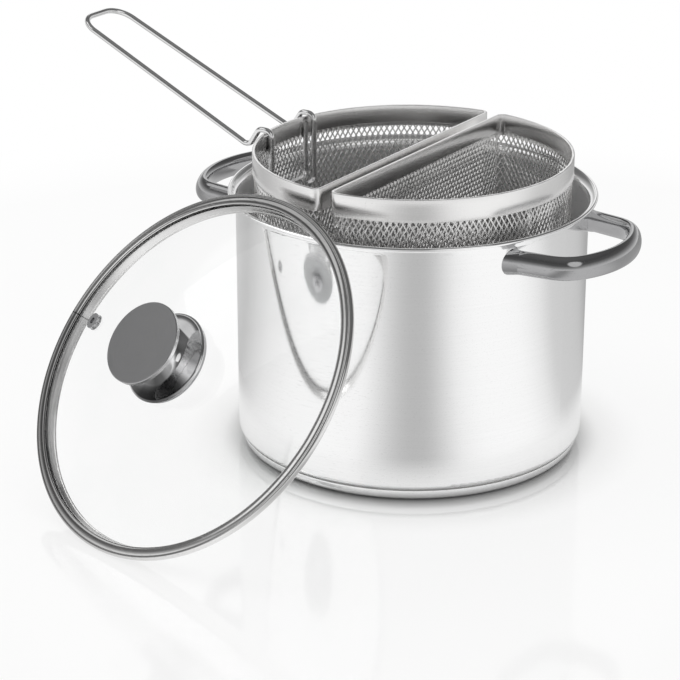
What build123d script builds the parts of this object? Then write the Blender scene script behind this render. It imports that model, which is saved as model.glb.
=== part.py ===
from build123d import *
import os
from math import asin, atan2, cos, degrees, hypot, radians, sin, sqrt

os.makedirs("parts", exist_ok=True)

# Clearances and overruns
seat_gap = 0.3            # air left where one loose piece rests on another
overrun = 5.0             # how far a cutter runs past what it cuts

# Pot body: a deep drawn shell with a flared pouring lip
pot_radius = 121.0        # outside of the straight wall
pot_height = 182.5        # floor to the top of the lip
pot_wall = 1.0
pot_floor = 1.2
body_corner = 4.0         # outside radius where the wall meets the floor
lip_reach = 6.0           # wall to the outside of the lip's rolled edge
lip_bead = 1.3            # radius of the rolled edge
lip_turn = 78.0           # degrees that the lip turns outward

# Base: an aluminium core closed in by a pressed steel cap
base_height = 9.0
cap_setback = 2.0         # pot's wall to the outside of the cap
cap_corner = 7.5
cap_wall = 0.8
cap_edge_gap = 0.6        # groove left open above the cap's edge

# Side handles: flattened tube bows on flared feet
handle_drop = 16.5        # top of the lip to the middle of the bow
handle_reach = 41.6       # pot wall to the middle of the tube at the bow's outer end
handle_root_span = 50.6   # middle of the bow to the middle of an arm at its foot
handle_bend_span = 46.5   # the same where the arms would meet the outer bar
handle_bend = 24.0        # bend between an arm and the outer bar
handle_crown = 71.0       # radius of the bowed outer bar
tube_half_width = 4.8
tube_half_height = 8.0
tube_lean = 11.5          # degrees that the tube's top leans towards the finger gap
foot_spread = 2.2         # how much wider than the tube a foot grows, inside the wall
foot_length = 5.2         # wall to the end of the foot
foot_depth = 8.0          # how far the foot's flare is drawn on inside the wall

# Strainer baskets: two half moons of wire mesh in steel bands
basket_clearance = 11.0   # outside of the pot's wall to a basket
basket_gap = 8.0          # air between the two flat sides
basket_corner = 6.0
basket_rise = 27.2        # top of the lip to the rim bands' top
band_height = 15.5
band_wall = 1.0
hem_height = 12.5         # doubled upper part of the rim band, above the net
foot_band_height = 8.0
mesh_wall = 1.0
mesh_floor_rise = 1.5     # foot band's lower edge to the mesh floor's underside

# Mesh openings: upright diamonds in staggered rows
mesh_rows = 3
flat_columns = 5
mesh_strand = 3.0         # width of metal left between diamonds
mesh_edge = 3.0           # solid margin along the bands and corners
panels = 7                # narrow panels of one column each make up the round net

# Inner bracket: a wire U welded inside each round side
bracket_wire = 1.75       # radius
bracket_half_width = 21.5
bracket_drop = 43.5       # rim band's top to the cross wire
bracket_top_drop = 2.8    # rim band's top to the welded ends
bracket_bend = 5.0

# Wire handle: one bent rod that hooks over the rim and under a bracket
rod = 2.0                 # radius
leg_half_width = 26.0     # half of the distance between the hooked legs
grip_half_width = 22.0    # half of the grip's width at its end
hump_span = 10.4          # between the two legs of the bend over the rim
elbow_reach = 8.9         # outward from the outer leg to the low elbow
elbow_drop = 11.3         # rim band's top to the low elbow's corner
grip_reach = 161.8        # outward from the outer leg to the grip's end
grip_rise = 56.0          # rim band's top to the grip's end
hook_length = 9.0
hook_bend = 4.0
elbow_bend = 6.0
grip_bend = 15.0

# Lid: a domed glass in a steel rim band
lid_overhang = 1.5        # lid's edge past the lip's when it closes the pot
lid_glass = 4.0           # thickness of the glass
lid_rise = 21.0           # seat of the dome to its crown, under the glass
lid_sheet = 0.8           # thickness of the rim band
lid_flange = 8.0          # lid's edge to the inner edge of the band over the glass
lid_bead = 2.8            # radius of the band's rounded edge
skirt_setback = 8.8       # lid's edge to the outside of the skirt
skirt_drop = 6.5          # under the glass
skirt_hem = 1.0           # radius of the skirt's rolled foot
lid_contact = 0.915       # how far up its width the leaning lid meets the top of the pot
lid_bearing = -103.2      # direction of the lid from the pot's axis, in degrees
ring_steps = 720          # places tested round the skirt's foot
halvings = 40             # steps of the search for where the lid rests

# Knob: a spun mushroom on the crown of the glass
knob_radius = 28.2
knob_height = 27.4        # glass to the knob's top
knob_cap = 1.6
knob_neck = 14.5
knob_neck_rise = 14.0
knob_foot = 31.2
knob_foot_edge = 3.2
knob_undercut = 2.6       # bottom of the knob's top to the cap
gasket_inset = 1.2
gasket_body = 0.6
screw = 2.4
screw_reach = 14.0
screw_head = 5.0
screw_head_height = 3.0
screw_bore_gap = 0.05
washer = 10.0
washer_height = 1.2
washer_gap = 0.05         # between the flat washer and the hollow of the dome
cup_washer = 8.5
cup_washer_height = 1.0

# Steam vent: a riveted eyelet in the glass
vent_setback = 32.8       # lid's edge to the vent, level
vent_up = 5.2             # from the lid's axis, up the slope
vent_bore = 2.2
vent_barrel = 3.4
vent_flange = 5.6
vent_sheet = 0.7


def finish(part, name):
    """Label a finished piece and write it to its file."""
    part.label = name
    export_step(part, f"parts/{name}.step")


# Heights and radii shared by pieces that meet
pot_inner = pot_radius - pot_wall
lip_radius = pot_radius + lip_reach
cap_radius = pot_radius - cap_setback
handle_height = pot_height - handle_drop
inner_floor = base_height + pot_floor
basket_radius = pot_radius - basket_clearance
basket_bottom = inner_floor + seat_gap
basket_top = pot_height + basket_rise
band_bottom = basket_top - band_height
bracket_radius = basket_radius - band_wall - mesh_wall - bracket_wire
pot_axis = Axis.Z

# The shell, from the middle of its floor out to the lip's edge. The lip turns
# outward on one arc, and its edge is rolled into a bead.
flare = lip_radius - lip_bead - pot_radius
turn = radians(lip_turn)
flare_radius = flare / (1 - cos(turn))
flare_start = pot_height - lip_bead - flare_radius * sin(turn)
flare_centre = (pot_radius + flare_radius, flare_start)
inner_flare = flare_radius + pot_wall


def on_flare(radius, angle):
    """Point on an arc round the lip's centre, turned up from the wall."""
    return (
        flare_centre[0] - radius * cos(radians(angle)),
        flare_centre[1] + radius * sin(radians(angle)),
    )


with BuildPart() as pot_body:
    with BuildSketch(Plane.XZ):
        with BuildLine():
            Line((0, base_height), (pot_radius - body_corner, base_height))
            RadiusArc(
                (pot_radius - body_corner, base_height),
                (pot_radius, base_height + body_corner),
                -body_corner,
            )
            Line((pot_radius, base_height + body_corner), on_flare(flare_radius, 0))
            ThreePointArc(
                on_flare(flare_radius, 0),
                on_flare(flare_radius, lip_turn / 2),
                on_flare(flare_radius, lip_turn),
            )
            Line(on_flare(flare_radius, lip_turn), on_flare(inner_flare, lip_turn))
            ThreePointArc(
                on_flare(inner_flare, lip_turn),
                on_flare(inner_flare, lip_turn / 2),
                on_flare(inner_flare, 0),
            )
            Line(on_flare(inner_flare, 0), (pot_inner, inner_floor + body_corner))
            RadiusArc(
                (pot_inner, inner_floor + body_corner),
                (pot_inner - body_corner, inner_floor),
                body_corner,
            )
            Line((pot_inner - body_corner, inner_floor), (0, inner_floor))
            Line((0, inner_floor), (0, base_height))
        make_face()
        with Locations((lip_radius - lip_bead, pot_height - lip_bead)):
            Circle(lip_bead)
    revolve(axis=pot_axis)
finish(pot_body.part, "pot_body")

# The aluminium core fills the cap up to the underside of the pot
core_radius = cap_radius - cap_wall
core_corner = cap_corner - cap_wall
cap_top = base_height - cap_edge_gap

with BuildPart() as base_core:
    with BuildSketch(Plane.XZ):
        with BuildLine():
            Polyline(
                (0, base_height),
                (0, cap_wall),
                (core_radius - core_corner, cap_wall),
            )
            RadiusArc(
                (core_radius - core_corner, cap_wall),
                (core_radius, cap_corner),
                -core_corner,
            )
            Polyline(
                (core_radius, cap_corner),
                (core_radius, cap_top),
                (pot_radius - body_corner, base_height),
                (0, base_height),
            )
        make_face()
    revolve(axis=pot_axis)
finish(base_core.part, "base_core")

with BuildPart() as base_cap:
    with BuildSketch(Plane.XZ):
        with BuildLine():
            Line((0, 0), (cap_radius - cap_corner, 0))
            RadiusArc((cap_radius - cap_corner, 0), (cap_radius, cap_corner), -cap_corner)
            Polyline(
                (cap_radius, cap_corner),
                (cap_radius, cap_top),
                (core_radius, cap_top),
                (core_radius, cap_corner),
            )
            RadiusArc(
                (core_radius, cap_corner),
                (core_radius - core_corner, cap_wall),
                core_corner,
            )
            Polyline((core_radius - core_corner, cap_wall), (0, cap_wall), (0, 0))
        make_face()
    revolve(axis=pot_axis)
finish(base_cap.part, "base_cap")

# Side handles. The bow's middle line lies level: two straight arms that close
# in a little, two bends and a bowed outer bar.
bow_end = pot_radius + handle_reach
crown_centre = bow_end - handle_crown
bend_x = crown_centre + sqrt(handle_crown**2 - handle_bend_span**2)
arm_start = sqrt(pot_radius**2 - handle_root_span**2) + foot_length
arm_run = Vector(bend_x - arm_start, handle_root_span - handle_bend_span, 0).normalized()

sides = {"right": 1, "left": -1}
ends = {"front": -1, "rear": 1}


def arm_plane(side, end, back):
    """Plane square to an arm, set back from the arm's start towards the pot."""
    run = Vector(side * arm_run.X, -end * arm_run.Y, 0)
    start = Vector(side * arm_start, end * handle_root_span, handle_height)
    return Plane(origin=start - run * back, x_dir=(0, -end, 0), z_dir=run)


for side_name, side in sides.items():
    with BuildPart() as bow:
        with BuildLine(Plane.XY.offset(handle_height)) as bow_line:
            front_arm = Line(
                (side * arm_start, -handle_root_span),
                (side * bend_x, -handle_bend_span),
            )
            bar = ThreePointArc(
                front_arm @ 1, (side * bow_end, 0), (side * bend_x, handle_bend_span)
            )
            Line(bar @ 1, (side * arm_start, handle_root_span))
            outermost = -1 if side > 0 else 0
            fillet(bow_line.vertices().group_by(Axis.X)[outermost], handle_bend)
        with BuildSketch(arm_plane(side, ends["front"], 0)):
            Ellipse(tube_half_width, tube_half_height, rotation=-side * tube_lean)
        sweep()
    finish(bow.part, f"handle_{side_name}_bow")

    for end_name, end in ends.items():
        with BuildPart() as foot:
            for back, spread in ((0, 0), (foot_length + foot_depth, foot_spread)):
                with BuildSketch(arm_plane(side, end, back)):
                    Ellipse(
                        tube_half_width + spread,
                        tube_half_height + spread,
                        rotation=side * end * tube_lean,
                    )
            loft()
            Cylinder(
                pot_radius,
                pot_height,
                align=(Align.CENTER, Align.CENTER, Align.MIN),
                mode=Mode.SUBTRACT,
            )
        finish(foot.part, f"handle_{side_name}_{end_name}_foot")


# Strainer baskets
def half_moon(side, inset):
    """Outline of a basket, drawn in by the inset on every side."""
    flat = side * (basket_gap / 2 + inset)
    reach = Align.MIN if side > 0 else Align.MAX
    with BuildSketch() as outline:
        Circle(basket_radius - inset)
        with Locations((flat, 0)):
            Rectangle(
                basket_radius,
                2 * basket_radius,
                align=(reach, Align.CENTER),
                mode=Mode.INTERSECT,
            )
        fillet(outline.vertices(), basket_corner - inset)
    return outline.sketch


# The flat side's straight stretch ends where the corners begin
corner_x = basket_gap / 2 + basket_corner
flat_half_length = sqrt((basket_radius - basket_corner) ** 2 - corner_x**2)
round_half_angle = degrees(atan2(flat_half_length, corner_x))
mesh_top = basket_top - hem_height
mesh_bottom = basket_bottom + mesh_floor_rise
wall_bottom = mesh_bottom + mesh_wall
wall_middle = (wall_bottom + mesh_top) / 2
mesh_radius = basket_radius - band_wall

# Openings keep the same margin all round and share the rest evenly
pitch_up = (mesh_top - wall_bottom - 2 * mesh_edge) / mesh_rows
flat_pitch = 2 * (flat_half_length - mesh_edge) / flat_columns
round_pitch = 2 * (round_half_angle - degrees(mesh_edge / mesh_radius)) / panels


# Seams of the round net's panels, in degrees from the middle of the round side
panel_reach = 2 * basket_radius
panel_limit = 95.0
seams = [round_pitch * (count - panels / 2) for count in range(1, panels)]
panel_bounds = list(zip([-panel_limit] + seams, seams + [panel_limit]))


def diamonds(across, columns, rows):
    """Grid of diamond openings with strands of one width left between them."""
    half_across, half_up = across / 2, pitch_up / 2
    reach = half_across * half_up / hypot(half_across, half_up)
    share = 1 - mesh_strand / 2 / reach
    with BuildSketch() as net:
        with GridLocations(across, pitch_up, columns, rows):
            Polygon(
                (half_across * share, 0),
                (0, half_up * share),
                (-half_across * share, 0),
                (0, -half_up * share),
            )
    return net.sketch


for side_name, side in sides.items():
    outer = half_moon(side, 0)
    under_band = half_moon(side, band_wall)
    inside = half_moon(side, band_wall + mesh_wall)

    with BuildPart() as rim_band:
        with BuildSketch(Plane.XY.offset(band_bottom)):
            add(outer)
            add(under_band, mode=Mode.SUBTRACT)
        extrude(amount=band_height)
        with BuildSketch(Plane.XY.offset(mesh_top)):
            add(under_band)
            add(inside, mode=Mode.SUBTRACT)
        extrude(amount=hem_height)
    finish(rim_band.part, f"basket_{side_name}_rim_band")

    with BuildPart() as foot_band:
        with BuildSketch(Plane.XY.offset(basket_bottom)):
            add(outer)
            add(under_band, mode=Mode.SUBTRACT)
        extrude(amount=foot_band_height)
    finish(foot_band.part, f"basket_{side_name}_foot_band")

    with BuildPart() as mesh_floor:
        with BuildSketch(Plane.XY.offset(mesh_bottom)):
            add(under_band)
        extrude(amount=mesh_wall)
    finish(mesh_floor.part, f"basket_{side_name}_mesh_floor")

    flat_middle = side * (basket_gap / 2 + band_wall + mesh_wall / 2)
    with BuildPart() as mesh_round:
        with BuildSketch(Plane.XY.offset(wall_bottom)):
            add(under_band)
            add(inside, mode=Mode.SUBTRACT)
            with Locations((flat_middle, 0)):
                Rectangle(2 * mesh_wall, 2 * flat_half_length, mode=Mode.SUBTRACT)
        extrude(amount=mesh_top - wall_bottom)
        for shift in (0, 1):
            columns = panels - shift
            across = 2 * mesh_radius * sin(radians(round_pitch / 2))
            for column in range(columns):
                turned = radians(round_pitch * (column - (columns - 1) / 2))
                outward = Vector(side * cos(turned), sin(turned), 0)
                column_plane = Plane(
                    origin=(0, 0, wall_middle),
                    x_dir=(-side * sin(turned), cos(turned), 0),
                    z_dir=outward,
                )
                with BuildSketch(column_plane):
                    add(diamonds(across, 1, mesh_rows - shift))
        extrude(amount=basket_radius + overrun, mode=Mode.SUBTRACT)

    for number, (panel_start, panel_end) in enumerate(panel_bounds, start=1):
        with BuildPart() as mesh_panel:
            add(mesh_round)
            with BuildSketch(Plane.XY.offset(wall_bottom)):
                spokes = (panel_start, (panel_start + panel_end) / 2, panel_end)
                corners = [
                    (side * panel_reach * cos(radians(spoke)), panel_reach * sin(radians(spoke)))
                    for spoke in spokes
                ]
                Polygon((0, 0), *corners, align=None)
            extrude(amount=mesh_top - wall_bottom, mode=Mode.INTERSECT)
        finish(mesh_panel.part, f"basket_{side_name}_mesh_panel_{number}")

    flat_face = side * (basket_gap / 2 + band_wall)
    flat_plane = Plane(
        origin=(flat_face, 0, wall_middle), x_dir=(0, 1, 0), z_dir=(side, 0, 0)
    )
    with BuildPart() as mesh_flat:
        with BuildSketch(flat_plane):
            Rectangle(2 * flat_half_length, mesh_top - wall_bottom)
            for shift in (0, 1):
                net = diamonds(flat_pitch, flat_columns - shift, mesh_rows - shift)
                add(net, mode=Mode.SUBTRACT)
        extrude(amount=mesh_wall)
    finish(mesh_flat.part, f"basket_{side_name}_mesh_flat")

    bracket_x = side * sqrt(bracket_radius**2 - bracket_half_width**2)
    with BuildPart() as bracket:
        with BuildLine() as bracket_line:
            FilletPolyline(
                (bracket_x, -bracket_half_width, basket_top - bracket_top_drop),
                (bracket_x, -bracket_half_width, basket_top - bracket_drop),
                (bracket_x, bracket_half_width, basket_top - bracket_drop),
                (bracket_x, bracket_half_width, basket_top - bracket_top_drop),
                radius=bracket_bend,
            )
        bracket_path = bracket_line.line
        with BuildSketch(Plane(origin=bracket_path @ 0, z_dir=bracket_path % 0)):
            Circle(bracket_wire)
        sweep()
    finish(bracket.part, f"basket_{side_name}_bracket")

# Wire handle, hooked over the left basket. Its legs hang just inboard of the
# bracket, and the bend over the rim rests on the band's top edge.
leg_x = -sqrt(bracket_radius**2 - bracket_half_width**2) + bracket_wire + rod + seat_gap
outer_leg_x = leg_x - hump_span
hump_bend = hump_span / 2
hump_top = basket_top + rod + seat_gap
hook_z = basket_top - bracket_drop - bracket_wire - rod - seat_gap

half_shape = (
    (leg_x, leg_half_width - hook_length, hook_z),
    (leg_x, leg_half_width, hook_z),
    (leg_x, leg_half_width, hump_top),
    (outer_leg_x, leg_half_width, hump_top),
    (outer_leg_x - elbow_reach, leg_half_width, basket_top - elbow_drop),
    (outer_leg_x - grip_reach, grip_half_width, basket_top + grip_rise),
)
half_bends = (hook_bend, hump_bend, hump_bend, elbow_bend, grip_bend)
near_points = [(x, -y, z) for x, y, z in half_shape]
far_points = list(reversed(half_shape))

with BuildPart() as basket_handle:
    with BuildLine() as rod_line:
        FilletPolyline(
            near_points + far_points,
            radius=half_bends + half_bends[::-1],
        )
    rod_path = rod_line.line
    with BuildSketch(Plane(origin=rod_path @ 0, z_dir=rod_path % 0)):
        Circle(rod)
    sweep()
finish(basket_handle.part, "basket_handle")

# Lid. It leans on the pot's lip from outside, with its lowest edge on the floor.
# The skirt's foot and the lip's bead are two rings; the lid moves in until they
# are their two radii and the seat gap apart.
lid_radius = lip_radius + lid_overhang
lean = asin(pot_height / (2 * lid_radius * lid_contact))
glass_edge = lid_radius - lid_bead
edge_height = lid_glass / 2
hem_radius = lid_radius - skirt_setback - skirt_hem
hem_height_below = lid_sheet + skirt_drop - skirt_hem
bead_radius = lip_radius - lip_bead
bead_height = pot_height - lip_bead
hem_clear = skirt_hem + lip_bead + seat_gap
lid_rest = glass_edge * sin(lean) - edge_height * cos(lean) + lid_bead
hem_rest = lid_rest - hem_height_below * cos(lean)


def fouls_lip(distance):
    """Whether the skirt's foot meets the lip with the lid's middle this far out."""
    hem_middle = distance - hem_height_below * sin(lean)
    for step in range(ring_steps):
        turned = radians(step * 360 / ring_steps)
        height = hem_rest + hem_radius * cos(turned) * sin(lean)
        outward = hem_middle - hem_radius * cos(turned) * cos(lean)
        radial = hypot(outward, hem_radius * sin(turned))
        inside = radial < bead_radius and height < bead_height
        if inside or hypot(radial - bead_radius, height - bead_height) < hem_clear:
            return True
    return False


lid_near, lid_distance = pot_radius, pot_radius + 2 * lid_radius
for _ in range(halvings):
    trial = (lid_near + lid_distance) / 2
    if fouls_lip(trial):
        lid_near = trial
    else:
        lid_distance = trial

bearing = radians(lid_bearing)
lid_origin = Vector(lid_distance * cos(bearing), lid_distance * sin(bearing), lid_rest)
lid_normal = Vector(sin(lean) * cos(bearing), sin(lean) * sin(bearing), cos(lean))
lid_level = Vector(-sin(bearing), cos(bearing), 0)
lid_plane = Plane(origin=lid_origin, x_dir=lid_level, z_dir=lid_normal)
lid_section = Plane(origin=lid_origin, x_dir=lid_level, z_dir=-lid_plane.y_dir)
lid_axis = Axis(lid_origin, lid_normal)

# The dome springs from a flat edge that the band holds
dome_edge = lid_radius - lid_flange
dome_radius = (dome_edge**2 + lid_rise**2) / (2 * lid_rise)


def dome_under(radius):
    """Height of the dome's underside above the rim's plane."""
    return lid_rise - dome_radius + sqrt(dome_radius**2 - radius**2)


def dome_over(radius):
    """Height of the dome's upper side above the rim's plane."""
    return dome_under(radius) + lid_glass


vent_across = lid_radius - vent_setback
vent_radius = hypot(vent_across, vent_up)
vent_slope = degrees(asin(vent_radius / dome_radius))
vent_local = Vector(-vent_across, vent_up, dome_over(vent_radius))
vent_spot = lid_plane.from_local_coords(vent_local)
vent_out = lid_plane.from_local_coords(Vector(-vent_across, vent_up, 0)) - lid_origin
vent_normal = (
    lid_normal * cos(radians(vent_slope))
    + vent_out.normalized() * sin(radians(vent_slope))
)
vent_plane = Plane(origin=vent_spot, x_dir=lid_level.cross(vent_normal), z_dir=vent_normal)
vent_section = Plane(origin=vent_spot, x_dir=vent_plane.x_dir, z_dir=-vent_plane.y_dir)

with BuildPart() as lid_glass_disc:
    with BuildSketch(lid_section):
        with BuildLine():
            Line((0, dome_under(0)), (0, dome_over(0)))
            ThreePointArc(
                (0, dome_over(0)),
                (dome_edge / 2, dome_over(dome_edge / 2)),
                (dome_edge, lid_glass),
            )
            Polyline(
                (dome_edge, lid_glass),
                (glass_edge, lid_glass),
                (glass_edge, 0),
                (dome_edge, 0),
            )
            ThreePointArc(
                (dome_edge, 0),
                (dome_edge / 2, dome_under(dome_edge / 2)),
                (0, dome_under(0)),
            )
        make_face()
    revolve(axis=lid_axis)
    with BuildSketch(lid_plane):
        Circle(screw + seat_gap)
    extrude(amount=dome_over(0) + overrun, mode=Mode.SUBTRACT)
    with BuildSketch(vent_plane):
        Circle(vent_barrel + screw_bore_gap)
    extrude(amount=lid_glass + overrun, both=True, mode=Mode.SUBTRACT)
finish(lid_glass_disc.part, "lid_glass")

# The band's section: a round edge, two flanges that hold the glass, and a skirt
skirt_outer = lid_radius - skirt_setback
skirt_inner = skirt_outer - lid_sheet
skirt_end = -hem_height_below
bead_top = lid_glass + lid_sheet
bead_middle = lid_glass / 2
bead_throw = sqrt(lid_bead**2 - (bead_middle + lid_sheet) ** 2)

with BuildPart() as lid_rim_band:
    with BuildSketch(lid_section):
        with BuildLine():
            Polyline(
                (dome_edge, lid_glass),
                (dome_edge, bead_top),
                (glass_edge + bead_throw, bead_top),
            )
            ThreePointArc(
                (glass_edge + bead_throw, bead_top),
                (lid_radius, bead_middle),
                (glass_edge + bead_throw, -lid_sheet),
            )
            Polyline(
                (glass_edge + bead_throw, -lid_sheet),
                (skirt_outer, -lid_sheet),
                (skirt_outer, skirt_end),
                (skirt_inner, skirt_end),
                (skirt_inner, 0),
                (glass_edge, 0),
                (glass_edge, lid_glass),
                (dome_edge, lid_glass),
            )
        make_face()
        with Locations((hem_radius, skirt_end)):
            Circle(skirt_hem)
    revolve(axis=lid_axis)
finish(lid_rim_band.part, "lid_rim_band")

with BuildPart() as lid_vent_eyelet:
    with BuildSketch(vent_section):
        with BuildLine():
            Polyline(
                (vent_bore, vent_sheet),
                (vent_flange, vent_sheet),
                (vent_flange, 0),
                (vent_barrel, 0),
                (vent_barrel, -lid_glass),
                (vent_flange, -lid_glass),
                (vent_flange, -lid_glass - vent_sheet),
                (vent_bore, -lid_glass - vent_sheet),
                close=True,
            )
        make_face()
    revolve(axis=Axis(vent_spot, vent_normal))
finish(lid_vent_eyelet.part, "lid_vent_eyelet")

# Knob, gasket, screw and washers, on the lid's axis
crown = dome_over(0)
knob_base = crown + gasket_body
knob_top = crown + knob_height
cap_base = knob_top - knob_cap
gasket_radius = knob_foot - gasket_inset
bore_radius = screw + screw_bore_gap

with BuildPart() as knob_gasket:
    with BuildSketch(lid_section):
        with BuildLine():
            Polyline(
                (bore_radius, dome_over(bore_radius)),
                (bore_radius, knob_base),
                (gasket_radius, knob_base),
                (gasket_radius, dome_over(gasket_radius)),
            )
            ThreePointArc(
                (gasket_radius, dome_over(gasket_radius)),
                (gasket_radius / 2, dome_over(gasket_radius / 2)),
                (bore_radius, dome_over(bore_radius)),
            )
        make_face()
    revolve(axis=lid_axis)
finish(knob_gasket.part, "knob_gasket")

neck_height = knob_base + knob_neck_rise
foot_top = knob_base + knob_foot_edge
shoulder_height = cap_base - knob_undercut
with BuildPart() as knob_body:
    with BuildSketch(lid_section):
        with BuildLine():
            Polyline(
                (0, cap_base),
                (0, knob_base + screw_reach),
                (bore_radius, knob_base + screw_reach),
                (bore_radius, knob_base),
                (knob_foot - knob_foot_edge / 2, knob_base),
            )
            foot_edge = ThreePointArc(
                (knob_foot - knob_foot_edge / 2, knob_base),
                (knob_foot, knob_base + knob_foot_edge / 2),
                (knob_foot - knob_foot_edge / 2, foot_top),
            )
            lower_neck = Spline(
                foot_edge @ 1,
                (knob_neck, neck_height),
                tangents=[(-1, 0), (0, 1)],
            )
            upper_neck = Spline(
                lower_neck @ 1,
                (knob_radius, shoulder_height + knob_undercut / 2),
                tangents=[(0, 1), (1, 0)],
            )
            Polyline(upper_neck @ 1, (knob_radius, cap_base), (0, cap_base))
        make_face()
    revolve(axis=lid_axis)
finish(knob_body.part, "knob_body")

with BuildPart() as knob_top_cap:
    with BuildSketch(lid_plane.offset(cap_base)):
        Circle(knob_radius)
    extrude(amount=knob_cap)
    chamfer(knob_top_cap.edges().sort_by(lid_axis)[-1], knob_cap / 4)
finish(knob_top_cap.part, "knob_top_cap")

washer_top = dome_under(washer) - washer_gap
cup_top = washer_top - washer_height
with BuildPart() as knob_washer:
    with BuildSketch(lid_plane.offset(cup_top)):
        Circle(washer)
        Circle(bore_radius, mode=Mode.SUBTRACT)
    extrude(amount=washer_height)
finish(knob_washer.part, "knob_washer")

cup_bottom = cup_top - cup_washer_height
with BuildPart() as knob_cup_washer:
    with BuildSketch(lid_plane.offset(cup_bottom)):
        Circle(cup_washer)
        Circle(bore_radius, mode=Mode.SUBTRACT)
    extrude(amount=cup_washer_height)
    chamfer(knob_cup_washer.edges().sort_by(lid_axis)[0], cup_washer_height / 2)
finish(knob_cup_washer.part, "knob_cup_washer")

with BuildPart() as knob_screw:
    with BuildSketch(lid_plane.offset(cup_bottom - screw_head_height)):
        Circle(screw_head)
    extrude(amount=screw_head_height)
    fillet(knob_screw.edges().sort_by(lid_axis)[0], screw_head_height / 3)
    with BuildSketch(lid_plane.offset(cup_bottom)):
        Circle(screw)
    extrude(amount=knob_base + screw_reach - cup_bottom)
finish(knob_screw.part, "knob_screw")
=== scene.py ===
from collections import namedtuple
from math import atan2, ceil, cos, pi, radians, sin, sqrt

import bmesh
import bpy
from bpy.props import FloatProperty, FloatVectorProperty, IntProperty, PointerProperty
from mathutils import Matrix, Vector


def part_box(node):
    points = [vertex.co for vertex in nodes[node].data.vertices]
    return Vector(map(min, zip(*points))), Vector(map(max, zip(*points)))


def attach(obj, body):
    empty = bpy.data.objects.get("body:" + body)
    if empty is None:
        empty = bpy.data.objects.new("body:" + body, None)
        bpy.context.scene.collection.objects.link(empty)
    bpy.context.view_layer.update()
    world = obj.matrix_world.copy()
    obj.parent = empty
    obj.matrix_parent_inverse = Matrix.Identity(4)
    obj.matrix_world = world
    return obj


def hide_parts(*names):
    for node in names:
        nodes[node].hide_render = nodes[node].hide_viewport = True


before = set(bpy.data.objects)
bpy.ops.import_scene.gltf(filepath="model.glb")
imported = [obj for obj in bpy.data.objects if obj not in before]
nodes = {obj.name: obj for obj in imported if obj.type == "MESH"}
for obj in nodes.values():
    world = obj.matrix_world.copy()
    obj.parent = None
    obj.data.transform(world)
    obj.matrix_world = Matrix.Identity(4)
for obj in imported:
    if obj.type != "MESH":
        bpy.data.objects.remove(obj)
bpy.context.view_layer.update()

bl_info = {
    "name": "Pasta Pot",
    "version": (1, 0, 0),
    "blender": (4, 5, 0),
    "location": "View3D > Sidebar > Pasta Pot",
    "description": "Dresses a pasta pot with two strainer baskets and a glass lid",
    "category": "Object",
}

# The box of the solids, before any piece is added
millimetre = 0.001
sides = {"right": 1, "left": -1}


def middle_of(node):
    """Middle of a node's box."""
    low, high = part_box(node)
    return (Vector(low) + Vector(high)) / 2


# Places read from the frame
band_low, band_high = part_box("basket_right_rim_band")
mesh_low, mesh_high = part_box("basket_right_mesh_panel_4")
_, pot_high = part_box("pot_body")
net_panels = range(1, 8)
lid_origin = middle_of("knob_washer")
lid_axis = (middle_of("knob_top_cap") - lid_origin).normalized()
lid_level = Vector((0, 0, 1)).cross(lid_axis).normalized()
lid_turn = Matrix((lid_level, lid_axis.cross(lid_level), lid_axis))


def points_on_lid(node):
    """Points of a node in the lid's own space, with Z along its axis."""
    return [lid_turn @ (vert.co - lid_origin) for vert in nodes[node].data.vertices]


band_points = points_on_lid("lid_rim_band")
lid_radius = max(point.xy.length for point in band_points)
lid_top = max(point.z for point in band_points)
disc_top = max(point.z for point in points_on_lid("knob_top_cap"))

# The disc's brushed face reaches this far down its edge
brushed_depth = 0.6 * millimetre

# Outer edge of the pot's lip to the middle of the wall below it
lip_to_wall = 6.5 * millimetre

# Play in millimetres that keeps the spun band inside the solid one
band_play = 0.04

# Butt seam of the lid's band: its direction in the lid's own space, half of its width
# there, and its colour
seam_turn = radians(177)
seam_half_turn = 0.0028
seam_colour = (0.06, 0.06, 0.06)


def by_direction(levels):
    """Stops of a ramp from levels by direction, from -180 to 180 degrees."""
    return tuple(((turn + 180) / 360, level) for turn, level in levels)


# Painted reflection on the lid's band: grey levels that multiply its colour by direction in the
# lid's own space, with a step down at the seam where the strip closes
painted_band_reflection = by_direction((
    (-180, 0.36), (-150, 0.32), (-112, 0.42), (-80, 0.7), (-45, 0.95), (0, 0.9), (40, 0.7),
    (72, 0.42), (98, 0.5), (122, 0.8), (148, 1.0), (166, 0.75), (176.4, 0.6), (177.6, 0.36),
    (180, 0.36),
))

# Painted reflection on the knob's neck and foot, and on the edge under its disc: grey levels
# that multiply their colour by direction in the lid's own space
painted_knob_reflection = by_direction((
    (-180, 0.9), (-140, 1.0), (-118, 0.9), (-98, 0.25), (-70, 0.1), (-48, 0.14), (-30, 0.4),
    (-14, 0.9), (2, 1.0), (14, 0.8), (26, 0.5), (48, 0.7), (80, 0.6), (120, 0.8), (180, 0.9),
))

# The half moon outline that the baskets share
band_radius = band_high[0]
half_gap = band_low[0]
band_wall = band_high[0] - mesh_high[0]
outline_corner = 6 * millimetre
corner_x = half_gap + outline_corner
corner_y = sqrt((band_radius - outline_corner) ** 2 - corner_x**2)
corner_turn = atan2(corner_y, corner_x)


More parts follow.
